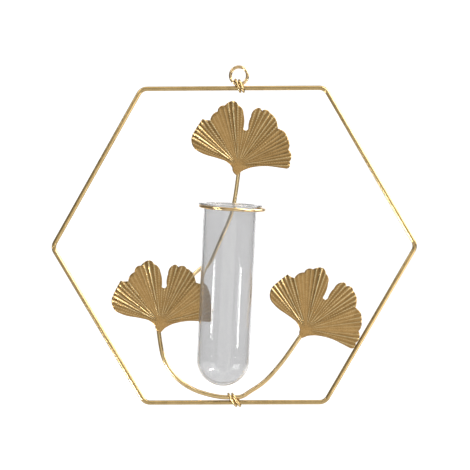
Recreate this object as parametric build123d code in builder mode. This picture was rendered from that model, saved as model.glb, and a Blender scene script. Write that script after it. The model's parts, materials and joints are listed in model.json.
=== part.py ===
"""Hanging wall vase: a wire hexagon with three ginkgo leaves and a glass tube in a ring.

The front faces -Y, the wall is on the +Y side and +Z is up. The origin is the centre of
the hanging ring's hole. The frame, the ring and the stems are bent in the plane y = 0.
Lengths are in millimetres, angles in degrees. A share is a part of the size it follows.
"""

import os
from math import cos, pi, radians, sin, sqrt

from build123d import *

os.makedirs("parts", exist_ok=True)

# Clearances
seat_gap = 0.05
arc_seat_gap = 0.4
lip_gap = 0.15

# Hexagon frame
frame_corners = 6
frame_side = 104.0
frame_wire_radius = 1.3
frame_bend_radius = 5.5
frame_shift = 3.4

# Hanging ring
hanging_ring_radius = 4.85
hanging_ring_wire_radius = 0.95

# Tie wires
tie_wire_radius = 0.7
tie_turns = 2
top_tie_gap = 0.1
top_tie_pitch = 1.9
top_tie_slope = 0.35
top_tie_shift = 0.4
bottom_tie_gap = 0.24
bottom_tie_pitch = 2.25
bottom_tie_slope = 0.6
bottom_tie_shift = 1.5

# Stem arc that carries the two lower leaves
arc_wire_radius = 1.25
arc_width = 82.0
arc_seat_length = 4.4
arc_shift = 1.2
arc_left_overlap = 10.0
arc_right_overlap = 4.5

# Stem of the top leaf, which carries the holder ring
top_stem_wire_radius = 1.15
top_leaf_gap = 5.83
top_leaf_shift = -0.73
stem_joint_length = 5.0
stem_joint_drop = 0.5
top_leaf_overlap = 5.0

# Holder ring and glass tube
tube_radius = 14.75
tube_wall = 1.2
tube_length = 102.0
lip_thickness = 0.8
lip_flare_radius = 1.2
mouth_edge_radius = 0.3
ring_clearance = 2.1
ring_wire_radius = 0.95
ring_shift = -0.4
tube_shift = 1.1
tube_advance = 0.5
ring_lean_angle = 4.0
tube_lean_angle = 3.0

# Leaves
leaf_span = 57.0
leaf_thickness = 0.6
rib_count = 36
rib_depth_share = 0.0165
wave_share = 0.026
wave_period_angle = 85.0
wave_crest_angle = 40.0
fan_start_angle = -3.0
fan_end_angle = 160.0
flat_start_angle = 200.0
flat_end_angle = 320.0
flat_steps = 4
top_leaf_lean_angle = 4.0
left_leaf_turn_angle = 5.8
right_leaf_turn_angle = -18.9
left_leaf_shift = 1.1
right_leaf_shift = 0.7
right_leaf_drop = 0.7

# The leaf's outline, clockwise from its base, each row a point on an arc and the arc's end
leaf_outline_shares = (
    ((-0.006, -0.008), (-0.026, 0.006)),
    ((-0.043, 0.031), (-0.046, 0.062)),
    ((-0.078, 0.104), (-0.129, 0.138)),
    ((-0.205, 0.163), (-0.281, 0.184)),
    ((-0.357, 0.213), (-0.418, 0.251)),
    ((-0.452, 0.320), (-0.432, 0.415)),
    ((-0.388, 0.487), (-0.340, 0.555)),
    ((-0.300, 0.541), (-0.264, 0.543)),
    ((-0.242, 0.594), (-0.190, 0.626)),
    ((-0.170, 0.672), (-0.119, 0.684)),
    ((-0.084, 0.714), (-0.034, 0.731)),
    ((-0.004, 0.716), (0.018, 0.684)),
    ((0.056, 0.650), (0.068, 0.602)),
    ((0.076, 0.520), (0.066, 0.450)),
    ((0.090, 0.434), (0.115, 0.457)),
    ((0.122, 0.520), (0.142, 0.571)),
    ((0.166, 0.630), (0.211, 0.658)),
    ((0.238, 0.652), (0.252, 0.628)),
    ((0.294, 0.640), (0.332, 0.608)),
    ((0.380, 0.565), (0.404, 0.501)),
    ((0.410, 0.478), (0.408, 0.456)),
    ((0.444, 0.440), (0.480, 0.418)),
    ((0.502, 0.376), (0.518, 0.330)),
    ((0.526, 0.284), (0.514, 0.241)),
    ((0.544, 0.180), (0.525, 0.119)),
    ((0.531, 0.092), (0.525, 0.070)),
    ((0.508, 0.054), (0.486, 0.052)),
    ((0.426, 0.061), (0.350, 0.073)),
    ((0.254, 0.078), (0.140, 0.064)),
    ((0.084, 0.046), (0.044, 0.026)),
    ((0.028, 0.012), (0.014, 0.000)),
)
palm_shares = (0.009, 0.089)
fan_radius_share = 0.75

# Stations of the stem arc from its seat on the bar, in shares of its width, with headings
arc_left_station_shares = ((-0.516, 0.470, 96.0), (-0.449, 0.210, 122.5), (-0.232, 0.039, 161.0))
arc_right_station_shares = ((0.154, 0.061, 31.0), (0.353, 0.256, 52.5), (0.480, 0.436, 55.0))

# Stations of the top stem, from its foot upwards, in shares of its height, with headings
top_stem_station_shares = (
    (0.019, 0.140, 50.0),
    (0.242, 0.350, 42.0),
    (0.317, 0.420, 57.0),
    (0.410, 0.596, 63.5),
)
top_stem_ring_share = (0.4862, 0.787, 79.0)
top_stem_leaf_share = (0.5193, 1.000, 83.0)

# Ways closer than this count as one straight run
straight_angle = 0.05

# Solder beads, and the steps in which a winding is measured
bead_radius_share = 1.6
ring_bead_radius_share = 1.25
gap_steps = 8


def heading_vector(heading):
    """Direction in the plane of the frame, turned by a heading from +X towards +Z."""
    return Vector(cos(radians(heading)), 0, sin(radians(heading)))


def biarc(start, start_way, end, end_way):
    """Two arcs that leave start along start_way, meet smoothly and reach end along end_way."""
    start_way = start_way.normalized()
    end_way = end_way.normalized()
    chord = end - start
    along = chord.dot(start_way + end_way)
    spread = 2 * (1 - start_way.dot(end_way))
    reach = (sqrt(along**2 + spread * chord.dot(chord)) - along) / spread
    middle = (start + start_way * reach + end - end_way * reach) / 2
    first = Edge.make_tangent_arc(start, start_way, middle)
    return [first, Edge.make_tangent_arc(middle, first % 1, end)]


def bent_wire(stations):
    """Edges through stations, each a place and a way: lines where it runs straight, else arcs."""
    edges = []
    for (start, start_way), (end, end_way) in zip(stations, stations[1:]):
        chord = end - start
        if min(chord.get_angle(start_way), chord.get_angle(end_way)) < straight_angle:
            edges.append(Edge.make_line(start, end))
        else:
            edges += biarc(start, start_way, end, end_way)
    return edges


def winding_stations(middle_x, bar_z, high_z, bend, pitch, slope, rise):
    """A wire wound round two bars, up the back and down the front, climbing along X.

    bend is the radius of its turns, slope how far the front strands run along X for each
    length down, and rise tells how much higher the upper bar is at a distance from x = 0.
    """
    half_turn = pi * bend
    back_slope = pitch / (high_z - bar_z + half_turn) - slope
    half_turn_shift = half_turn * (slope + back_slope) / 2
    down = Vector(slope, 0, -1)
    up = Vector(back_slope, 0, 1)
    x = middle_x - tie_turns * pitch / 2
    stations = [(Vector(x, bend, bar_z), up)]
    for turn in range(tie_turns):
        crown_x = x + (high_z - bar_z) * back_slope + half_turn_shift / 2
        crown_z = high_z + rise(abs(crown_x) + tie_wire_radius)
        x += (crown_z - bar_z) * back_slope
        stations.append((Vector(x, bend, crown_z), up))
        x += half_turn_shift
        stations.append((Vector(x, -bend, crown_z), down))
        x += (crown_z - bar_z) * slope
        stations.append((Vector(x, -bend, bar_z), down))
        x += half_turn_shift
        stations.append((Vector(x, bend, bar_z), up))
    x += (high_z - bar_z) * back_slope
    stations.append((Vector(x, bend, high_z), up))
    return stations


def least_gap(edges, wire_radius):
    """Least gap of a winding to itself, from points more than half a turn apart."""
    places = []
    travelled = 0.0
    for edge in edges:
        for step in range(gap_steps):
            places.append((travelled + edge.length * step / gap_steps, edge @ (step / gap_steps)))
        travelled += edge.length
    half_turn = travelled / (2 * tie_turns + 1)
    gaps = []
    for number, (near_length, near) in enumerate(places):
        for far_length, far in places[number:]:
            if far_length - near_length > half_turn:
                gaps.append((far - near).length - 2 * wire_radius)
    return min(gaps)


# Places that follow from the sizes
bar_z = -(hanging_ring_radius + hanging_ring_wire_radius + seat_gap + frame_wire_radius)
corner_angle = 360 / frame_corners
frame_height = frame_side * cos(radians(corner_angle / 2)) * 2
frame_centre = Vector(-frame_shift, 0, bar_z - frame_height / 2)
bottom_bar_z = bar_z - frame_height
seat_z = bottom_bar_z + frame_wire_radius + arc_seat_gap + arc_wire_radius
seat = Vector(-frame_shift - arc_shift, 0, seat_z)

# hexagon_frame: one wire bent at its corners
corners = []
for corner in range(frame_corners):
    corners.append(frame_centre + heading_vector(corner_angle * corner) * frame_side)
with BuildPart() as hexagon_frame:
    with BuildLine() as frame_line:
        FilletPolyline(*corners, radius=frame_bend_radius, close=True)
    with BuildSketch(Plane(frame_line.line @ 0, z_dir=frame_line.line % 0)):
        Circle(frame_wire_radius)
    sweep(path=frame_line.line)

# hanging_ring: stands on the top bar, its hole along Y
with BuildPart() as hanging_ring:
    Torus(hanging_ring_radius, hanging_ring_wire_radius, rotation=(90, 0, 0))


# leaf_stem_arc: a U of wire that stands on the bottom bar
def arc_station(share):
    """Place and way of one station of the stem arc."""
    across, up, heading = share
    return (seat + Vector(across, 0, up) * arc_width, heading_vector(heading))


flat_half = Vector(arc_seat_length / 2, 0, 0)
left_base, left_way = arc_station(arc_left_station_shares[0])
right_base, right_way = arc_station(arc_right_station_shares[-1])
left_end = left_base + left_way * arc_left_overlap
arc_stations = [(left_end, -left_way)]
for share in arc_left_station_shares:
    place, way = arc_station(share)
    arc_stations.append((place, -way))
arc_stations += [(seat - flat_half, Vector(1, 0, 0)), (seat + flat_half, Vector(1, 0, 0))]
arc_stations += [arc_station(share) for share in arc_right_station_shares]
arc_stations.append((right_base + right_way * arc_right_overlap, right_way))
with BuildPart() as leaf_stem_arc:
    with BuildLine() as arc_line:
        add(bent_wire(arc_stations))
    with BuildSketch(Plane(left_end, z_dir=-left_way)):
        Circle(arc_wire_radius)
    sweep(path=arc_line.line)

# top_leaf_stem: lies along the left end of the arc, then rises behind the tube to the top leaf,
# whose tip it holds below the top bar
beside_arc = Vector(0, 1, 0).cross(left_way) * (arc_wire_radius + seat_gap + top_stem_wire_radius)
stem_foot = left_end + beside_arc - left_way * (stem_joint_length + stem_joint_drop)
joint_top = stem_foot + left_way * stem_joint_length
lean_back = sin(radians(top_leaf_lean_angle))
lean_up = cos(radians(top_leaf_lean_angle))
leaf_height = leaf_span * max(end[1] for through, end in leaf_outline_shares)
top_leaf_tip_z = bar_z - frame_wire_radius - top_leaf_gap
top_stem_height = top_leaf_tip_z - leaf_height * lean_up - stem_foot.Z


def top_stem_station(share):
    """Place and way of one station of the top stem."""
    across, up, heading = share
    return (stem_foot + Vector(across, 0, up) * top_stem_height, heading_vector(heading))


ring_place, ring_way = top_stem_station(top_stem_ring_share)
upright_base, upright_way = top_stem_station(top_stem_leaf_share)
top_way = Vector(upright_way.X, upright_way.Z * lean_back, upright_way.Z * lean_up)
top_base = upright_base + Vector(0, (upright_base.Z - ring_place.Z) * lean_back / 2, 0)
top_stem_stations = [(stem_foot, left_way), (joint_top, left_way)]
for share in top_stem_station_shares:
    top_stem_stations.append(top_stem_station(share))
top_stem_stations += [(ring_place, ring_way), (top_base, top_way)]
top_stem_stations.append((top_base + top_way * top_leaf_overlap, top_way))
with BuildPart() as top_leaf_stem:
    with BuildLine() as top_stem_line:
        add(bent_wire(top_stem_stations))
    with BuildSketch(Plane(stem_foot, z_dir=left_way)):
        Circle(top_stem_wire_radius)
    sweep(path=top_stem_line.line)

# top_tie_wire: binds the hanging ring to the top bar
top_tie_stations = winding_stations(
    middle_x=top_tie_shift,
    bar_z=bar_z,
    high_z=-hanging_ring_radius,
    bend=frame_wire_radius + top_tie_gap + tie_wire_radius,
    pitch=top_tie_pitch,
    slope=top_tie_slope,
    rise=lambda across: hanging_ring_radius - sqrt(hanging_ring_radius**2 - across**2),
)
top_tie_edges = bent_wire(top_tie_stations)
with BuildPart() as top_tie_wire:
    with BuildLine() as top_tie_line:
        add(top_tie_edges)
    with BuildSketch(Plane(top_tie_line.line @ 0, z_dir=top_tie_line.line % 0)):
        Circle(tie_wire_radius)
    sweep(path=top_tie_line.line)

# bottom_tie_wire: binds the stem arc to the bottom bar
bottom_tie_stations = winding_stations(
    middle_x=seat.X + bottom_tie_shift,
    bar_z=bottom_bar_z,
    high_z=seat.Z,
    bend=frame_wire_radius + bottom_tie_gap + tie_wire_radius,
    pitch=bottom_tie_pitch,
    slope=bottom_tie_slope,
    rise=lambda across: 0,
)
bottom_tie_edges = bent_wire(bottom_tie_stations)
with BuildPart() as bottom_tie_wire:
    with BuildLine() as bottom_tie_line:
        add(bottom_tie_edges)
    with BuildSketch(Plane(bottom_tie_line.line @ 0, z_dir=bottom_tie_line.line % 0)):
        Circle(tie_wire_radius)
    sweep(path=bottom_tie_line.line)
print("top tie's least gap to itself", round(least_gap(top_tie_edges, tie_wire_radius), 2))
print("bottom tie's least gap to itself", round(least_gap(bottom_tie_edges, tie_wire_radius), 2))

# holder_ring: level from front to back, in front of the top stem
ring_bend_radius = tube_radius + ring_clearance + ring_wire_radius
ring_depth = top_stem_wire_radius + seat_gap + ring_wire_radius + ring_bend_radius
ring_centre = ring_place + Vector(ring_shift, -ring_depth, 0)
with BuildPart() as holder_ring:
    with Locations(Location(ring_centre, (0, ring_lean_angle, 0))):
        Torus(ring_bend_radius, ring_wire_radius)

# glass_tube: its lip rests on the ring, lowest at the left
lip_radius = ring_bend_radius
lip_edge = lip_thickness / 2
lip_height = (ring_wire_radius + lip_gap) / cos(radians(ring_lean_angle))
lip_rise = lip_height + ring_bend_radius * sin(radians(ring_lean_angle - tube_lean_angle))
tube_way = Vector(sin(radians(tube_lean_angle)), 0, cos(radians(tube_lean_angle)))
tube_mouth = ring_centre - Vector(tube_shift, tube_advance, 0) + tube_way * lip_rise
tube_across = Vector(cos(radians(tube_lean_angle)), 0, -sin(radians(tube_lean_angle)))
tube_plane = Plane(tube_mouth, x_dir=tube_across, z_dir=tube_across.cross(tube_way))
bore_radius = tube_radius - tube_wall
dome_height = lip_thickness - tube_length + tube_radius
flare_corner = tube_radius + lip_flare_radius
flare_middle = lip_flare_radius * (1 - cos(radians(45)))
mouth_radius = bore_radius + mouth_edge_radius
mouth_height = lip_thickness - mouth_edge_radius
with BuildPart() as glass_tube:
    with BuildSketch(tube_plane) as tube_profile:
        with BuildLine():
            Line((0, dome_height - tube_radius), (0, dome_height - bore_radius))
            RadiusArc((0, dome_height - bore_radius), (bore_radius, dome_height), -bore_radius)
            Line((bore_radius, dome_height), (bore_radius, mouth_height))
            RadiusArc((bore_radius, mouth_height), (mouth_radius, lip_thickness), mouth_edge_radius)
            Line((mouth_radius, lip_thickness), (lip_radius - lip_edge, lip_thickness))
            ThreePointArc(
                (lip_radius - lip_edge, lip_thickness),
                (lip_radius, lip_edge),
                (lip_radius - lip_edge, 0),
            )
            Line((lip_radius - lip_edge, 0), (flare_corner, 0))
            ThreePointArc(
                (flare_corner, 0),
                (tube_radius + flare_middle, -flare_middle),
                (tube_radius, -lip_flare_radius),
            )
            Line((tube_radius, -lip_flare_radius), (tube_radius, dome_height))
            RadiusArc((tube_radius, dome_height), (0, dome_height - tube_radius), tube_radius)
        make_face()
    revolve(axis=Axis(tube_mouth, tube_way))

# The leaf blank, its base at the origin and its back on the plane y = 0
palm_x, palm_z = palm_shares[0] * leaf_span, palm_shares[1] * leaf_span
fan_radius = fan_radius_share * leaf_span
rib_angle = (fan_end_angle - fan_start_angle) / rib_count


def fold_depth(angle, ridge):
    """How far the sheet stands forward at an angle of the fan, for each length from the palm."""
    wave = wave_share * (1 - cos(2 * pi * (angle - wave_crest_angle) / wave_period_angle))
    return wave + (rib_depth_share if ridge else 0.0)


def rim_point(angle, depth):
    """Point on the back of the uncut fan's rim."""
    way = Vector(cos(radians(angle)), -depth, sin(radians(angle)))
    return back_palm + way * fan_radius


back_palm = Vector(palm_x, 0, palm_z)
to_front = Vector(0, -leaf_thickness, 0)
front_palm = back_palm + to_front
rim_folds = []
for half_rib in range(2 * rib_count + 1):
    angle = fan_start_angle + rib_angle * half_rib / 2
    rim_folds.append(rim_point(angle, fold_depth(angle, half_rib % 2 == 1)))
flat_angle = (flat_end_angle - flat_start_angle) / flat_steps
for step in range(flat_steps + 1):
    rim_folds.append(rim_point(flat_start_angle + flat_angle * step, 0))
rim_folds.append(rim_folds[0])
fan_faces = []
for back_near, back_far in zip(rim_folds, rim_folds[1:]):
    front_near, front_far = back_near + to_front, back_far + to_front
    fan_faces.append(Face(Wire.make_polygon([front_palm, front_near, front_far])))
    fan_faces.append(Face(Wire.make_polygon([back_palm, back_far, back_near])))
    fan_faces.append(Face(Wire.make_polygon([front_near, back_near, back_far, front_far])))
pleated_fan = Solid(Shell(fan_faces))

with BuildPart() as leaf_blank:
    with BuildSketch(Plane.XZ) as leaf_outline:
        with BuildLine():
            corner = Vector(*leaf_outline_shares[-1][1]) * leaf_span
            for through, end in leaf_outline_shares:
                next_corner = Vector(*end) * leaf_span
                ThreePointArc(corner, Vector(*through) * leaf_span, next_corner)
                corner = next_corner
        make_face()
    extrude(amount=fan_radius, both=True)
    add(pleated_fan, mode=Mode.INTERSECT)

# The three leaves, each in front of its stem
left_shift = Vector(left_leaf_shift, -arc_wire_radius - seat_gap, 0)
right_shift = Vector(right_leaf_shift, -arc_wire_radius - seat_gap, -right_leaf_drop)
top_shift = Vector(top_leaf_shift, -top_stem_wire_radius - seat_gap, 0)
left_leaf_place = Location(left_base + left_shift, (0, -left_leaf_turn_angle, 0))
right_leaf_place = Location(right_base + right_shift, (0, -right_leaf_turn_angle, 0))
top_leaf_place = Location(top_base + top_shift, (-top_leaf_lean_angle, 0, 0))
with BuildPart() as top_leaf:
    add(leaf_blank.part.moved(top_leaf_place))
with BuildPart() as left_leaf:
    add(leaf_blank.part.moved(left_leaf_place))
with BuildPart() as right_leaf:
    add(leaf_blank.part.moved(right_leaf_place))

# The planes of the leaves' backs, facing forward
facing_forward = Location((0, 0, 0), (90, 0, 0))
top_leaf_back = Plane(top_leaf_place * facing_forward)
left_leaf_back = Plane(left_leaf_place * facing_forward)
right_leaf_back = Plane(right_leaf_place * facing_forward)

# Solder beads: each leaf's sits on the end of its wire, flat against the back of the leaf
top_bead_place = Plane(top_base + top_way * top_leaf_overlap, z_dir=top_way)
with BuildPart() as top_leaf_weld:
    with Locations(top_bead_place):
        Sphere(top_stem_wire_radius * bead_radius_share)
    split(bisect_by=top_bead_place, keep=Keep.TOP)
    split(bisect_by=top_leaf_back, keep=Keep.BOTTOM)
left_bead_place = Plane(left_end, z_dir=left_way)
with BuildPart() as left_leaf_weld:
    with Locations(left_bead_place):
        Sphere(arc_wire_radius * bead_radius_share)
    split(bisect_by=left_bead_place, keep=Keep.TOP)
    split(bisect_by=left_leaf_back, keep=Keep.BOTTOM)
    add(top_leaf_stem.part, mode=Mode.SUBTRACT)
right_bead_place = Plane(right_base + right_way * arc_right_overlap, z_dir=right_way)
with BuildPart() as right_leaf_weld:
    with Locations(right_bead_place):
        Sphere(arc_wire_radius * bead_radius_share)
    split(bisect_by=right_bead_place, keep=Keep.TOP)
    split(bisect_by=right_leaf_back, keep=Keep.BOTTOM)

# stem_joint_weld: at the foot of the top stem, against the side of the arc
foot_bead_place = Plane(stem_foot, z_dir=-left_way)
with BuildPart() as stem_joint_weld:
    with Locations(foot_bead_place):
        Sphere(top_stem_wire_radius * bead_radius_share)
    split(bisect_by=foot_bead_place, keep=Keep.TOP)
    split(bisect_by=left_leaf_back, keep=Keep.BOTTOM)
    add(leaf_stem_arc.part, mode=Mode.SUBTRACT)

# holder_ring_weld: fills the crossing of the holder ring and the top stem
with BuildPart() as holder_ring_weld:
    with Locations(ring_place - Vector(0, top_stem_wire_radius + seat_gap / 2, 0)):
        Sphere(ring_wire_radius * ring_bead_radius_share)
    add(top_leaf_stem.part, mode=Mode.SUBTRACT)
    add(holder_ring.part, mode=Mode.SUBTRACT)

pieces = {
    "hexagon_frame": hexagon_frame,
    "hanging_ring": hanging_ring,
    "top_tie_wire": top_tie_wire,
    "leaf_stem_arc": leaf_stem_arc,
    "bottom_tie_wire": bottom_tie_wire,
    "top_leaf_stem": top_leaf_stem,
    "holder_ring": holder_ring,
    "glass_tube": glass_tube,
    "top_leaf": top_leaf,
    "left_leaf": left_leaf,
    "right_leaf": right_leaf,
    "top_leaf_weld": top_leaf_weld,
    "left_leaf_weld": left_leaf_weld,
    "right_leaf_weld": right_leaf_weld,
    "stem_joint_weld": stem_joint_weld,
    "holder_ring_weld": holder_ring_weld,
}
for name, piece in pieces.items():
    piece.part.label = name
    export_step(piece.part, "parts/" + name + ".step")
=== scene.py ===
"""Looks of the hanging wall vase: satin gold wire, ribbed ginkgo leaves and a glass tube.

Lengths are in metres, angles in degrees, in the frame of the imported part: the front faces
-Y, +Z is up and the origin is the centre of the hanging ring's hole.
"""

import json
import random
from math import atan2, cos, pi, radians, sin, sqrt

import bmesh
import bpy
from mathutils import Matrix, Vector
from mathutils.geometry import delaunay_2d_cdt
from mathutils.kdtree import KDTree


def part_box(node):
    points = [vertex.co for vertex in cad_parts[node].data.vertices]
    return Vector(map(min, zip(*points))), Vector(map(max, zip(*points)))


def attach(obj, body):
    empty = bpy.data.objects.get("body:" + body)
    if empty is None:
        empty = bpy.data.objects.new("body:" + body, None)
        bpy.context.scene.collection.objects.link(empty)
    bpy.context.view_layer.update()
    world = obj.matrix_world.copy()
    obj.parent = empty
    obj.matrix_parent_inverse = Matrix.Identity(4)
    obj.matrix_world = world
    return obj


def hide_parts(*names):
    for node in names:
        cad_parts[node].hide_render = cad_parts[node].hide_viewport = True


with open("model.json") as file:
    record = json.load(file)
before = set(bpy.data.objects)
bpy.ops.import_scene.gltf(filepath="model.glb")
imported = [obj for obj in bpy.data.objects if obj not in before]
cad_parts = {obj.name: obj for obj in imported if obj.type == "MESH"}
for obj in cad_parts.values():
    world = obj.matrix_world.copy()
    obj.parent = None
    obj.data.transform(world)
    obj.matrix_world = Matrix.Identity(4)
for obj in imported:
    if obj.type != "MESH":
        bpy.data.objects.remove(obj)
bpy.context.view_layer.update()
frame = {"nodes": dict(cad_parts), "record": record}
nodes = frame["nodes"]

# Camera: azimuth right of -Y, and the photo's width and focal length in pixels
camera_azimuth = 0.88
camera_elevation = 4.0
camera_roll = -0.3073
camera_distance = 0.780
camera_aim = (-0.00275, 0.0, -0.09059)
camera_clip = 0.01
sensor_width = 36.0
image_size = 470
focal_pixels = 1364.82

# Wires: light and dark gold of each kind, and the middle of its roughness
frame_gold = ((0.60, 0.43, 0.20), (0.50, 0.35, 0.15), 0.17)
stem_gold = ((0.78, 0.58, 0.30), (0.64, 0.46, 0.21), 0.17)
# The top stem's gold is the stem wire's gold made lighter, as a painted highlight
top_stem_highlight_gold = ((0.96, 0.75, 0.42), (0.82, 0.61, 0.31), 0.17)
tie_gold = ((0.62, 0.46, 0.23), (0.50, 0.35, 0.15), 0.22)
ring_gold = ((0.76, 0.56, 0.31), (0.60, 0.42, 0.21), 0.10)
wire_gloss_spread = (-0.06, 0.08)

# Gold of the leaves: darkened in the folds as painted shade, on the flat, and brightened on the ridges
# as painted highlight, where on the painted light each sits, and its shades
fold_shade_gold = (0.30, 0.185, 0.07)
flat_gold = (0.61, 0.38, 0.148)
ridge_highlight_gold = (1.0, 0.86, 0.51)
flat_light_at = 0.50
ridge_highlight_at = 0.82
leaf_mottle_shade = (0.84, 0.82, 0.78)
leaf_grain_shade = (0.80, 0.78, 0.74)
leaf_roughness = (0.22, 0.36)

# Solder
solder_dark = (0.42, 0.25, 0.10)
solder_light = (0.72, 0.50, 0.24)
solder_roughness = (0.30, 0.55)

# Glass: its clear share, beside a pale haze, and its refraction
glass_dark = (0.752, 0.752, 0.755)
glass_light = (0.772, 0.772, 0.775)
glass_clearness = 0.93
glass_refraction = 1.45

# Noise of these materials: features in each metre, and the depth of bumps
wire_mottles = 220.0
wire_grains = 2600.0
wire_dents = 420.0
leaf_mottles = 260.0
leaf_grains = 2200.0
solder_lumps = 900.0
glass_streaks = 400.0
glass_streak_stretch = (1, 1, 0.02)
wire_grain_depth = 0.000008
wire_dent_depth = 0.00006
leaf_grain_depth = 0.00003
solder_lump_depth = 0.00015
glass_streak_depth = 0.000001

# Leaf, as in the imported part
leaf_span = 0.057
leaf_thickness = 0.0006
rib_count = 36
wave_share = 0.026
wave_period = 85.0
wave_crest = 40.0
fan_start = -3.0
fan_end = 160.0
palm_shares = (0.009, 0.089)
leaf_places = {
    "top_leaf": {"turn": 0.0, "lean": 4.0},
    "left_leaf": {"turn": 5.8, "lean": 0.0},
    "right_leaf": {"turn": -18.9, "lean": 0.0},
}
leaf_outline_shares = (
    ((-0.006, -0.008), (-0.026, 0.006)),
    ((-0.043, 0.031), (-0.046, 0.062)),
    ((-0.078, 0.104), (-0.129, 0.138)),
    ((-0.205, 0.163), (-0.281, 0.184)),
    ((-0.357, 0.213), (-0.418, 0.251)),
    ((-0.452, 0.320), (-0.432, 0.415)),
    ((-0.388, 0.487), (-0.340, 0.555)),
    ((-0.300, 0.541), (-0.264, 0.543)),
    ((-0.242, 0.594), (-0.190, 0.626)),
    ((-0.170, 0.672), (-0.119, 0.684)),
    ((-0.084, 0.714), (-0.034, 0.731)),
    ((-0.004, 0.716), (0.018, 0.684)),
    ((0.056, 0.650), (0.068, 0.602)),
    ((0.076, 0.520), (0.066, 0.450)),
    ((0.090, 0.434), (0.115, 0.457)),
    ((0.122, 0.520), (0.142, 0.571)),
    ((0.166, 0.630), (0.211, 0.658)),
    ((0.238, 0.652), (0.252, 0.628)),
    ((0.294, 0.640), (0.332, 0.608)),
    ((0.380, 0.565), (0.404, 0.501)),
    ((0.410, 0.478), (0.408, 0.456)),
    ((0.444, 0.440), (0.480, 0.418)),
    ((0.502, 0.376), (0.518, 0.330)),
    ((0.526, 0.284), (0.514, 0.241)),
    ((0.544, 0.180), (0.525, 0.119)),
    ((0.531, 0.092), (0.525, 0.070)),
    ((0.508, 0.054), (0.486, 0.052)),
    ((0.426, 0.061), (0.350, 0.073)),
    ((0.254, 0.078), (0.140, 0.064)),
    ((0.084, 0.046), (0.044, 0.026)),
    ((0.028, 0.012), (0.014, 0.000)),
)
palm = Vector((palm_shares[0] * leaf_span, palm_shares[1] * leaf_span))

# Ribs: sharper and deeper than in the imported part, joined in pairs near the palm
rib_depth_share = 0.0180
rib_sharpness = 2.8
rib_fade = 14.0
# How sharply the painted highlight on the ridges and painted shade in the folds follow the ribs'
# strength
painted_light_power = 1.1
split_start = 0.0080
split_end = 0.0150
palm_start = 0.0008
palm_end = 0.0035
palm_ease = 0.0025

# Strength of the ribs at angles round the palm, and how unevenly they were pressed
rib_strengths = (
    (-3.0, 0.75), (8.0, 0.80), (14.0, 0.38), (38.0, 0.38), (43.0, 1.00), (62.0, 1.00),
    (70.0, 0.60), (84.0, 0.60), (89.0, 0.90), (98.0, 0.90), (102.0, 0.25), (119.0, 0.25),
    (123.0, 1.10), (148.0, 1.10), (153.0, 0.60), (160.0, 0.60),
)
rib_spread = (0.55, 1.15)
rib_seed = 4

# Mesh of a leaf: steps along the outline and the rays, and what keeps clear of the rim
leaf_outline_step = 0.0003
leaf_least_edge = 0.00005
leaf_rim_bevel = 0.00012
leaf_bend_share = 0.95
leaf_bend_edges = 4
leaf_rib_samples = 14
leaf_ring_step = 0.0014
leaf_rim_clearance = 0.00018
leaf_weld_distance = 1e-7
ridge_ray_start = 0.0010
even_ray_start = 0.0026
odd_ray_start = 0.0052
straight_area = 1e-12

# Glass tube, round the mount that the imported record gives
tube_radius = 0.01475
tube_length = 0.102
lip_thickness = 0.0008
lip_radius = 0.0178
lip_flare_radius = 0.0012
mouth_edge = 0.0003
wall_hold = 0.0004
tube_segments = 128
dome_steps = 24
flare_steps = 8
lip_steps = 10
mouth_steps = 6
least_radius = 1e-7

# Sweep: a floor that bends up into a wall, whose middle glows
sweep_half_width = 4.0
sweep_front = -3.0
floor_height = -0.75
wall_distance = 2.4
wall_top = 3.5
sweep_bend = 0.8
sweep_bend_steps = 12
sweep_dark = (0.60, 0.60, 0.60)
sweep_light = (0.64, 0.64, 0.64)
sweep_mottles = 3.0
sweep_roughness = 0.9
glow_strength = 0.68
glow_start = 0.3
glow_full = 1.5
glow_half_width = 0.8
glow_end_half_width = 2.1

# Lights: name, what it faces, azimuth right of -Y, elevation, distance, width, height,
# brightness and shape
tube_middle = (-0.006, -0.020, -0.127)
room_brightness = 0.26
lights = (
    ("key", camera_aim, 62, 42, 1.1, 0.55, 1.0, 7.0, "RECTANGLE"),
    ("side", camera_aim, 108, 25, 1.2, 0.9, 1.0, 5.0, "RECTANGLE"),
    ("top", camera_aim, 0, 78, 1.2, 1.2, 1.2, 1.1, "RECTANGLE"),
    ("low_right", camera_aim, 64, -32, 1.1, 0.6, 0.5, 3.0, "RECTANGLE"),
    ("left", camera_aim, -60, 40, 1.1, 0.4, 0.5, 4.0, "RECTANGLE"),
    ("front", camera_aim, 4, -1, 1.5, 1.6, 1.2, 0.62, "RECTANGLE"),
    ("glass_left", tube_middle, -60, -3.7, 0.75, 0.08, 0.088, 13.0, "ELLIPSE"),
    ("glass_low", tube_middle, -57, -36, 0.75, 0.26, 0.065, 55.0, "RECTANGLE"),
    ("glass_right", tube_middle, 62.5, -9.7, 0.75, 0.08, 0.088, 13.0, "RECTANGLE"),
)


# Materials

def new_material(name):
    """A new node material: itself, its tree, its principled shader and its object coordinates."""
    material = bpy.data.materials.new(name)
    material.use_nodes = True
    tree = material.node_tree
    shader = tree.nodes["Principled BSDF"]
    place = tree.nodes.new("ShaderNodeTexCoord").outputs["Object"]
    return material, tree, shader, place


def noise(tree, place, scale, detail=3.0, stretch=(1, 1, 1)):
    """Noise between 0 and 1, with features of about 1 / scale metres."""
    mapping = tree.nodes.new("ShaderNodeMapping")
    mapping.inputs["Scale"].default_value = stretch
    tree.links.new(place, mapping.inputs["Vector"])
    texture = tree.nodes.new("ShaderNodeTexNoise")
    texture.inputs["Scale"].default_value = scale
    texture.inputs["Detail"].default_value = detail
    tree.links.new(mapping.outputs["Vector"], texture.inputs["Vector"])
    return texture.outputs["Fac"]


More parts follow.
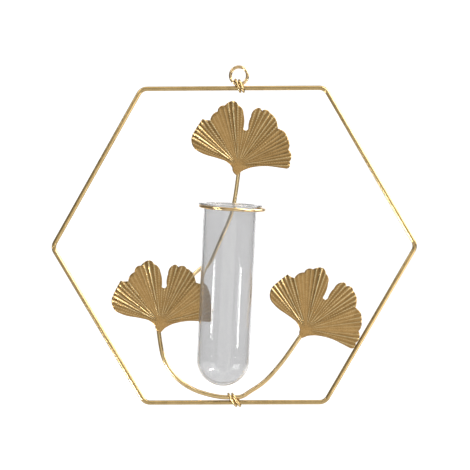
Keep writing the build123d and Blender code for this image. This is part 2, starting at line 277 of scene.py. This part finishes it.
def ramp(tree, factor, low, high, low_at=0.3, high_at=0.7, middle=None, middle_at=0.5):
    """Colour that runs from low to high, through a middle one if given, as the factor rises."""
    node = tree.nodes.new("ShaderNodeValToRGB")
    if middle is not None:
        node.color_ramp.elements.new(middle_at).color = (*middle, 1)
    node.color_ramp.elements[0].position = low_at
    node.color_ramp.elements[-1].position = high_at
    node.color_ramp.elements[0].color = (*low, 1)
    node.color_ramp.elements[-1].color = (*high, 1)
    tree.links.new(factor, node.inputs["Fac"])
    return node.outputs["Color"]


def spread(tree, factor, low, high):
    """Number that runs from low to high as the factor goes from 0 to 1."""
    node = tree.nodes.new("ShaderNodeMapRange")
    node.inputs["To Min"].default_value = low
    node.inputs["To Max"].default_value = high
    tree.links.new(factor, node.inputs["Value"])
    return node.outputs["Result"]


def multiplied(tree, first, second):
    """Two colours multiplied."""
    node = tree.nodes.new("ShaderNodeMix")
    node.data_type = "RGBA"
    node.blend_type = "MULTIPLY"
    node.inputs["Factor"].default_value = 1.0
    tree.links.new(first, node.inputs["A"])
    tree.links.new(second, node.inputs["B"])
    return node.outputs["Result"]


def bump(tree, height, distance, normal=None):
    """Bump of a given depth in metres."""
    node = tree.nodes.new("ShaderNodeBump")
    node.inputs["Distance"].default_value = distance
    tree.links.new(height, node.inputs["Height"])
    if normal is not None:
        tree.links.new(normal, node.inputs["Normal"])
    return node.outputs["Normal"]


def wire_gold(name, light, dark, roughness):
    """Satin gold plating on drawn wire: faint mottling, fine grain and small dents."""
    material, tree, shader, place = new_material(name)
    mottle = noise(tree, place, wire_mottles)
    grain = noise(tree, place, wire_grains, 2.0)
    low_gloss, high_gloss = wire_gloss_spread
    gloss = spread(tree, grain, roughness + low_gloss, roughness + high_gloss)
    shader.inputs["Metallic"].default_value = 1.0
    tree.links.new(ramp(tree, mottle, dark, light), shader.inputs["Base Color"])
    tree.links.new(gloss, shader.inputs["Roughness"])
    dents = bump(tree, noise(tree, place, wire_dents, 1.0), wire_dent_depth)
    tree.links.new(bump(tree, grain, wire_grain_depth, dents), shader.inputs["Normal"])
    return material


def leaf_gold():
    """Brown-gold stamped sheet: painted highlight on the ridges, painted shade in the folds, fine
    grain all over.
    """
    material, tree, shader, place = new_material("leaf_gold")
    ridge = tree.nodes.new("ShaderNodeAttribute")
    ridge.attribute_name = "ridge"
    mottle = noise(tree, place, leaf_mottles, 4.0)
    grain = noise(tree, place, leaf_grains, 2.0)
    painted_light = ridge.outputs["Fac"]
    # Painted shade in the folds and painted highlight on the ridges, carried by the ridge attribute
    by_painted_light = ramp(tree, painted_light, fold_shade_gold, ridge_highlight_gold, 0.0, ridge_highlight_at, flat_gold, flat_light_at)
    by_mottle = ramp(tree, mottle, leaf_mottle_shade, (1.0, 1.0, 1.0))
    by_grain = ramp(tree, grain, leaf_grain_shade, (1.0, 1.0, 1.0))
    colour = multiplied(tree, multiplied(tree, by_painted_light, by_mottle), by_grain)
    shader.inputs["Metallic"].default_value = 1.0
    tree.links.new(colour, shader.inputs["Base Color"])
    tree.links.new(spread(tree, grain, *leaf_roughness), shader.inputs["Roughness"])
    tree.links.new(bump(tree, grain, leaf_grain_depth), shader.inputs["Normal"])
    return material


def solder_gold():
    """Plated solder: rougher and more uneven than the wire."""
    material, tree, shader, place = new_material("solder_gold")
    lumps = noise(tree, place, solder_lumps, 3.0)
    shader.inputs["Metallic"].default_value = 1.0
    tree.links.new(ramp(tree, lumps, solder_dark, solder_light), shader.inputs["Base Color"])
    tree.links.new(spread(tree, lumps, *solder_roughness), shader.inputs["Roughness"])
    tree.links.new(bump(tree, lumps, solder_lump_depth), shader.inputs["Normal"])
    return material


def clear_glass():
    """Slightly grey and hazy glass, with faint streaks from drawing the tube."""
    material, tree, shader, place = new_material("clear_glass")
    streaks = noise(tree, place, glass_streaks, 2.0, glass_streak_stretch)
    shader.inputs["Transmission Weight"].default_value = glass_clearness
    shader.inputs["IOR"].default_value = glass_refraction
    shader.inputs["Roughness"].default_value = 0.0
    tree.links.new(ramp(tree, streaks, glass_dark, glass_light), shader.inputs["Base Color"])
    tree.links.new(bump(tree, streaks, glass_streak_depth), shader.inputs["Normal"])
    return material


def dress(obj, material):
    """Gives a whole piece one material."""
    obj.data.materials.clear()
    obj.data.materials.append(material)


def smooth_mesh(name, build):
    """The mesh of a finished bmesh, with smooth faces."""
    for face in build.faces:
        face.smooth = True
    mesh = bpy.data.meshes.new(name)
    build.to_mesh(mesh)
    build.free()
    return mesh


def new_object(name, data):
    """An object in the scene, for a mesh, a light or a camera."""
    obj = bpy.data.objects.new(name, data)
    bpy.context.scene.collection.objects.link(obj)
    return obj


# Leaves

def arc_points(start, through, end, count):
    """Points on the arc from start through a point to end, without start."""
    ax, ay = start
    bx, by = through
    cx, cy = end
    area = 2 * (ax * (by - cy) + bx * (cy - ay) + cx * (ay - by))
    if abs(area) < straight_area:
        return [(ax + (cx - ax) * k / count, ay + (cy - ay) * k / count) for k in range(1, count + 1)]
    a2, b2, c2 = ax * ax + ay * ay, bx * bx + by * by, cx * cx + cy * cy
    middle_x = (a2 * (by - cy) + b2 * (cy - ay) + c2 * (ay - by)) / area
    middle_y = (a2 * (cx - bx) + b2 * (ax - cx) + c2 * (bx - ax)) / area
    radius = sqrt((ax - middle_x) ** 2 + (ay - middle_y) ** 2)
    first = atan2(ay - middle_y, ax - middle_x)
    second = atan2(by - middle_y, bx - middle_x)
    last = atan2(cy - middle_y, cx - middle_x)
    turn = (last - first) % (2 * pi)
    if (second - first) % (2 * pi) > turn:
        turn -= 2 * pi
    angles = [first + turn * k / count for k in range(1, count + 1)]
    return [(middle_x + radius * cos(angle), middle_y + radius * sin(angle)) for angle in angles]


def leaf_outline():
    """The leaf's outline in metres, clockwise, evenly spaced."""
    points = []
    corner = tuple(c * leaf_span for c in leaf_outline_shares[-1][1])
    for through, end in leaf_outline_shares:
        through = tuple(c * leaf_span for c in through)
        end = tuple(c * leaf_span for c in end)
        steps = max(2, round((Vector(end) - Vector(corner)).length / leaf_outline_step))
        points += arc_points(corner, through, end, steps)
        corner = end
    return [Vector(point) for point in points]


def inset(points, distance):
    """A closed outline moved inwards; it runs clockwise."""
    moved = []
    for number, point in enumerate(points):
        along = (points[(number + 1) % len(points)] - points[number - 1]).normalized()
        moved.append(point + Vector((along.y, -along.x)) * distance)
    return moved


def rib_place(x, z):
    """Angle of a point round the palm, and its distance from it."""
    dx, dz = x - palm.x, z - palm.y
    return (atan2(dz, dx) * 180 / pi + 90) % 360 - 90, sqrt(dx * dx + dz * dz)


def rib_strength(angle):
    """Height of the ribs at an angle, as a share of their full height."""
    for (first, low), (last, high) in zip(rib_strengths, rib_strengths[1:]):
        if angle <= last:
            return low + (high - low) * (max(angle, first) - first) / (last - first)
    return rib_strengths[-1][1]


def rib_evenness():
    """How strongly each rib was pressed, with chance from a seed."""
    chance = random.Random(rib_seed)
    return [chance.uniform(*rib_spread) for _ in range(rib_count)]


def smooth_step(value, start, end):
    """0 below start, 1 above end and smooth between them."""
    share = min(1.0, max(0.0, (value - start) / (end - start)))
    return share * share * (3 - 2 * share)


def fold(x, z, evenness):
    """How far forward the sheet stands at a point, and its painted light: 0 for painted shade in a
    fold, 1 for a painted highlight on a ridge.
    """
    angle, reach = rib_place(x, z)
    inside = 1 - min(1.0, max(0.0, fan_start - angle, angle - fan_end) / rib_fade)
    near = min(fan_end, max(fan_start, angle))
    eased = sqrt(reach * reach + palm_ease * palm_ease) - palm_ease
    wave = wave_share * (1 - cos(2 * pi * (near - wave_crest) / wave_period)) * inside
    phase = (angle - fan_start) * rib_count / (fan_end - fan_start)
    fine = (0.5 - 0.5 * cos(2 * pi * phase)) ** rib_sharpness
    broad = (0.5 + 0.5 * cos(pi * (phase - 0.5))) ** rib_sharpness
    share = smooth_step(reach, split_start, split_end)
    strength = inside * rib_strength(angle) * smooth_step(reach, palm_start, palm_end)
    fine_strength = strength * evenness[min(rib_count - 1, max(0, int(phase)))]
    broad_strength = strength * evenness[min(rib_count - 1, max(0, 2 * round((phase - 0.5) / 2)))]
    ribs = (1 - share) * 2 * broad * broad_strength + share * fine * fine_strength
    # Painted light: darker in the folds as painted shade, brighter on the ridges as painted highlight
    painted_light = 0.5 + (1 - share) * (broad - 0.5) * broad_strength**painted_light_power
    painted_light += share * (fine - 0.5) * fine_strength**painted_light_power
    return eased * (wave + rib_depth_share * ribs), painted_light


def rib_ways():
    """Headings of all rays from the palm, the ridges and valleys among them."""
    ray_step = radians((fan_end - fan_start) / rib_count / leaf_rib_samples)
    turns = [radians(fan_start) + k * ray_step for k in range(int(2 * pi / ray_step))]
    return [Vector((cos(turn), sin(turn))) for turn in turns]


def crossings(way, outline):
    """Where a ray from the palm crosses a closed outline: each reach, and the edge's number."""
    found = []
    before = outline[-1] - palm
    for number, point in enumerate(outline):
        after = point - palm
        side_before, side_after = way.cross(before), way.cross(after)
        if (side_before > 0) != (side_after > 0):
            reach = way.dot(before.lerp(after, side_before / (side_before - side_after)))
            if reach > 0:
                found.append((reach, number))
        before = after
    return sorted(found)


def edge_distance(point, start, end):
    """Distance from a point to an edge."""
    along = end - start
    share = min(1.0, max(0.0, (point - start).dot(along) / along.length_squared))
    return (start + along * share - point).length


def ribbed_outline():
    """The leaf's outline with a corner on each ray that crosses it, but for those near its bends."""
    outline = leaf_outline()
    extra = [[] for _ in outline]
    for way in rib_ways():
        for reach, number in crossings(way, outline):
            point = palm + way * reach
            along = (outline[number] - outline[number - 1]).normalized()
            inner = point + Vector((along.y, -along.x)) * leaf_rim_bevel
            around = range(-leaf_bend_edges, leaf_bend_edges + 1)
            near = [(number + k) % len(outline) for k in around]
            clear = min(edge_distance(inner, outline[k - 1], outline[k]) for k in near)
            if clear > leaf_bend_share * leaf_rim_bevel:
                extra[number].append(((point - outline[number - 1]).length, point))
    points = []
    for number, corner in enumerate(outline):
        last = outline[number - 1]
        for _, point in sorted(extra[number], key=lambda entry: entry[0]):
            if min((point - last).length, (point - corner).length) > leaf_least_edge:
                points.append(point)
                last = point
        points.append(corner)
    return points


def ray_start(ray):
    """Where a ray's first point lies: nearest the palm on a ridge or in a valley."""
    if ray % 2:
        return odd_ray_start
    if ray % (leaf_rib_samples // 2):
        return even_ray_start
    return ridge_ray_start


def leaf_interior(outline):
    """Points inside the outline along the rays, on fewer rays close to the palm."""
    rim = KDTree(len(outline))
    for number, corner in enumerate(outline):
        rim.insert(corner.to_3d(), number)
    rim.balance()
    kept = [palm]
    for ray, way in enumerate(rib_ways()):
        reaches = [reach for reach, _ in crossings(way, outline)]
        for begin, end in zip([0.0] + reaches[1::2], reaches[0::2]):
            begin = max(begin, ray_start(ray))
            steps = max(1, round((end - begin) / leaf_ring_step))
            for step in range(steps):
                point = palm + way * (begin + (end - begin) * step / steps)
                if begin < end and rim.find(point.to_3d())[2] > leaf_rim_clearance:
                    kept.append(point)
    return kept


def leaf_mesh():
    """The stamped sheet, its base at the origin, its back near the plane y = 0."""
    outline = ribbed_outline()
    inner = inset(outline, leaf_rim_bevel)
    flat = inner + leaf_interior(inner)
    count = len(inner)
    rim_edges = [(k, (k + 1) % count) for k in range(count)]
    rim_face = [list(range(count))]
    inside_only = 1
    points, _, faces, *_ = delaunay_2d_cdt(flat, rim_edges, rim_face, inside_only, leaf_weld_distance)
    faces = [face for face in faces if len(face) == 3]
    evenness = rib_evenness()
    build = bmesh.new()
    # The ridge attribute carries the painted highlight and painted shade of the ribs
    ridges = build.verts.layers.float.new("ridge")

    def place(x, z, forward):
        depth, ridge = fold(x, z, evenness)
        vertex = build.verts.new((x, -depth - forward, z))
        vertex[ridges] = ridge
        return vertex

    front = [place(p.x, p.y, leaf_thickness) for p in points]
    back = [place(p.x, p.y, 0.0) for p in points]
    for a, b, c in faces:
        build.faces.new((front[a], front[b], front[c]))
        build.faces.new((back[c], back[b], back[a]))
    front_rim = [place(x, z, leaf_thickness - leaf_rim_bevel) for x, z in outline]
    back_rim = [place(x, z, leaf_rim_bevel) for x, z in outline]
    for k in range(count):
        n = (k + 1) % count
        build.faces.new((front[n], front[k], front_rim[k], front_rim[n]))
        build.faces.new((front_rim[n], front_rim[k], back_rim[k], back_rim[n]))
        build.faces.new((back_rim[n], back_rim[k], back[k], back[n]))
    bmesh.ops.recalc_face_normals(build, faces=build.faces)
    return smooth_mesh("leaf", build)


def seat_in_box(obj, node):
    """Moves a piece so that its box meets the box of the node that it replaces."""
    low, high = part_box(node)
    corners = [obj.matrix_world @ v.co for v in obj.data.vertices]
    own_low = Vector([min(c[k] for c in corners) for k in range(3)])
    own_high = Vector([max(c[k] for c in corners) for k in range(3)])
    shift = ((low - own_low) + (high - own_high)) / 2
    shift.y = high.y - own_high.y
    obj.matrix_world = Matrix.Translation(shift) @ obj.matrix_world


def make_leaves():
    """Three copies of the stamping, each in the place of its node."""
    mesh = leaf_mesh()
    mesh.materials.append(leaf_gold())
    for node, place in leaf_places.items():
        leaf = new_object(node + "_sheet", mesh)
        lean = Matrix.Rotation(radians(-place["lean"]), 4, "X")
        turn = Matrix.Rotation(radians(-place["turn"]), 4, "Y")
        leaf.matrix_world = lean @ turn
        bpy.context.view_layer.update()
        seat_in_box(leaf, node)
        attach(leaf, "root")
        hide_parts(node)


# Glass tube

def bend(middle_x, middle_z, radius, first, last, steps):
    """Points of an arc in the tube's profile."""
    turns = [radians(first + (last - first) * k / steps) for k in range(steps + 1)]
    return [(middle_x + radius * cos(turn), middle_z + radius * sin(turn)) for turn in turns]


def tube_profile(bore):
    """The wall's profile from the dome's tip up the outside, round the lip and down the bore."""
    dome = lip_thickness - tube_length + tube_radius
    edge = lip_thickness / 2
    profile = bend(0, dome, tube_radius, -90, 0, dome_steps)
    profile += [(tube_radius, dome + wall_hold), (tube_radius, -lip_flare_radius - wall_hold)]
    flare = tube_radius + lip_flare_radius
    profile += bend(flare, -lip_flare_radius, lip_flare_radius, 180, 90, flare_steps)
    profile += bend(lip_radius - edge, edge, edge, -90, 90, lip_steps)
    profile += bend(bore + mouth_edge, lip_thickness - mouth_edge, mouth_edge, 90, 180, mouth_steps)
    profile += [(bore, -lip_flare_radius - wall_hold), (bore, dome + wall_hold)]
    return profile + bend(0, dome, bore, 0, -90, dome_steps)


def make_tube():
    """The tube's wall, turned about the mount's axis: outer face, lip and bore."""
    mount = next(m for m in frame["record"]["mounts"] if m["name"] == "tube_bore")
    build = bmesh.new()
    rings = []
    for x, z in tube_profile(mount["dims"]["r_mm"] / 1000):
        if x < least_radius:
            rings.append([build.verts.new((0, 0, z))])
            continue
        turns = [2 * pi * k / tube_segments for k in range(tube_segments)]
        rings.append([build.verts.new((x * cos(turn), x * sin(turn), z)) for turn in turns])
    for near, far in zip(rings, rings[1:]):
        for k in range(tube_segments):
            n = (k + 1) % tube_segments
            corners = [near[k % len(near)], near[n % len(near)], far[n % len(far)], far[k % len(far)]]
            build.faces.new(list(dict.fromkeys(corners)))
    bmesh.ops.recalc_face_normals(build, faces=build.faces)
    tube = new_object("glass_wall", smooth_mesh("glass_wall", build))
    upright = Vector((0, 0, 1)).rotation_difference(Vector(mount["axis"]))
    tube.matrix_world = Matrix.Translation(mount["pos_m"]) @ upright.to_matrix().to_4x4()
    dress(tube, clear_glass())
    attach(tube, "tube")
    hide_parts("glass_tube")


# Stage, lights and camera

def eased_range(tree, value, start, end, low, high):
    """Number that runs smoothly from low to high as a value goes from start to end."""
    node = tree.nodes.new("ShaderNodeMapRange")
    node.interpolation_type = "SMOOTHSTEP"
    node.inputs["From Min"].default_value = start
    node.inputs["From Max"].default_value = end
    node.inputs["To Min"].default_value = low
    node.inputs["To Max"].default_value = high
    tree.links.new(value, node.inputs["Value"])
    return node.outputs["Result"]


def calculated(tree, operation, *values):
    """A maths node on one or two values."""
    node = tree.nodes.new("ShaderNodeMath")
    node.operation = operation
    for number, value in enumerate(values):
        tree.links.new(value, node.inputs[number])
    return node.outputs[0]


def white_sweep():
    """Pale matt paper that glows far behind the vase, as a lit backdrop does, but not at its sides."""
    material, tree, shader, place = new_material("white_sweep")
    shade = ramp(tree, noise(tree, place, sweep_mottles), sweep_dark, sweep_light)
    tree.links.new(shade, shader.inputs["Base Color"])
    shader.inputs["Roughness"].default_value = sweep_roughness
    split = tree.nodes.new("ShaderNodeSeparateXYZ")
    tree.links.new(place, split.inputs["Vector"])
    rise = eased_range(tree, split.outputs["Y"], glow_start, glow_full, 0.0, glow_strength)
    aside = calculated(tree, "ABSOLUTE", split.outputs["X"])
    fall = eased_range(tree, aside, glow_half_width, glow_end_half_width, 1.0, 0.0)
    shader.inputs["Emission Color"].default_value = (1, 1, 1, 1)
    tree.links.new(calculated(tree, "MULTIPLY", rise, fall), shader.inputs["Emission Strength"])
    return material


def make_stage():
    """The sweep: a floor below the vase that curves up into a wall far behind it."""
    bend_y, bend_z = wall_distance - sweep_bend, floor_height + sweep_bend
    profile = [(sweep_front, floor_height), (bend_y, floor_height)]
    for k in range(1, sweep_bend_steps + 1):
        angle = radians(90 * k / sweep_bend_steps)
        profile.append((bend_y + sweep_bend * sin(angle), bend_z - sweep_bend * cos(angle)))
    profile.append((wall_distance, wall_top))
    build = bmesh.new()
    sides = (-sweep_half_width, sweep_half_width)
    rows = [[build.verts.new((x, y, z)) for x in sides] for y, z in profile]
    for near, far in zip(rows, rows[1:]):
        build.faces.new((near[0], near[1], far[1], far[0]))
    sweep = new_object("sweep", smooth_mesh("sweep", build))
    dress(sweep, white_sweep())


def softbox(name, target, azimuth, elevation, distance, width, height, brightness, shape):
    """An area light of a given brightness that faces a point."""
    light = bpy.data.lights.new(name, "AREA")
    light.shape = shape
    light.size = width
    light.size_y = height
    light.energy = brightness * pi * width * height
    lamp = new_object(name, light)
    a, e = radians(azimuth), radians(elevation)
    way = Vector((sin(a) * cos(e), -cos(a) * cos(e), sin(e)))
    lamp.location = Vector(target) + way * distance
    lamp.rotation_euler = way.to_track_quat("Z", "Y").to_euler()


def make_lights():
    """Soft studio light: a key from the upper right, weak fills, three small ones for the glass."""
    world = bpy.data.worlds.new("studio")
    world.use_nodes = True
    background = world.node_tree.nodes["Background"]
    background.inputs["Color"].default_value = (1.0, 1.0, 1.0, 1)
    background.inputs["Strength"].default_value = room_brightness
    bpy.context.scene.world = world
    for light in lights:
        softbox(*light)


def make_camera():
    """The photograph's camera."""
    azimuth, elevation, roll = radians(camera_azimuth), radians(camera_elevation), radians(camera_roll)
    back = Vector((sin(azimuth) * cos(elevation), -cos(azimuth) * cos(elevation), sin(elevation)))
    right = Vector((cos(azimuth), sin(azimuth), 0))
    up = back.cross(right)
    turned_right = right * cos(roll) + up * sin(roll)
    turned_up = back.cross(turned_right)
    place = Matrix((turned_right, turned_up, back)).transposed().to_4x4()
    place.translation = Vector(camera_aim) + back * camera_distance
    data = bpy.data.cameras.new("camera")
    data.sensor_fit = "HORIZONTAL"
    data.sensor_width = sensor_width
    data.lens = sensor_width * focal_pixels / image_size
    data.clip_start = camera_clip
    camera = new_object("camera", data)
    camera.matrix_world = place
    bpy.context.scene.camera = camera


def dress_frame():
    """Materials for the wires and solder beads that stay as packed."""
    dress(nodes["hexagon_frame"], wire_gold("frame_gold", *frame_gold))
    dress(nodes["leaf_stem_arc"], wire_gold("stem_gold", *stem_gold))
    # The top stem gets the lighter copy of the stem gold: painted highlight
    dress(nodes["top_leaf_stem"], wire_gold("top_stem_highlight_gold", *top_stem_highlight_gold))
    tie = wire_gold("tie_gold", *tie_gold)
    for name in ("top_tie_wire", "bottom_tie_wire"):
        dress(nodes[name], tie)
    ring = wire_gold("ring_gold", *ring_gold)
    for name in ("hanging_ring", "holder_ring"):
        dress(nodes[name], ring)
    solder = solder_gold()
    for name in nodes:
        if name.endswith("_weld"):
            dress(nodes[name], solder)


dress_frame()
make_leaves()
make_tube()
make_stage()
make_lights()
make_camera()
bpy.context.scene.view_settings.view_transform = "Standard"
bpy.context.view_layer.update()
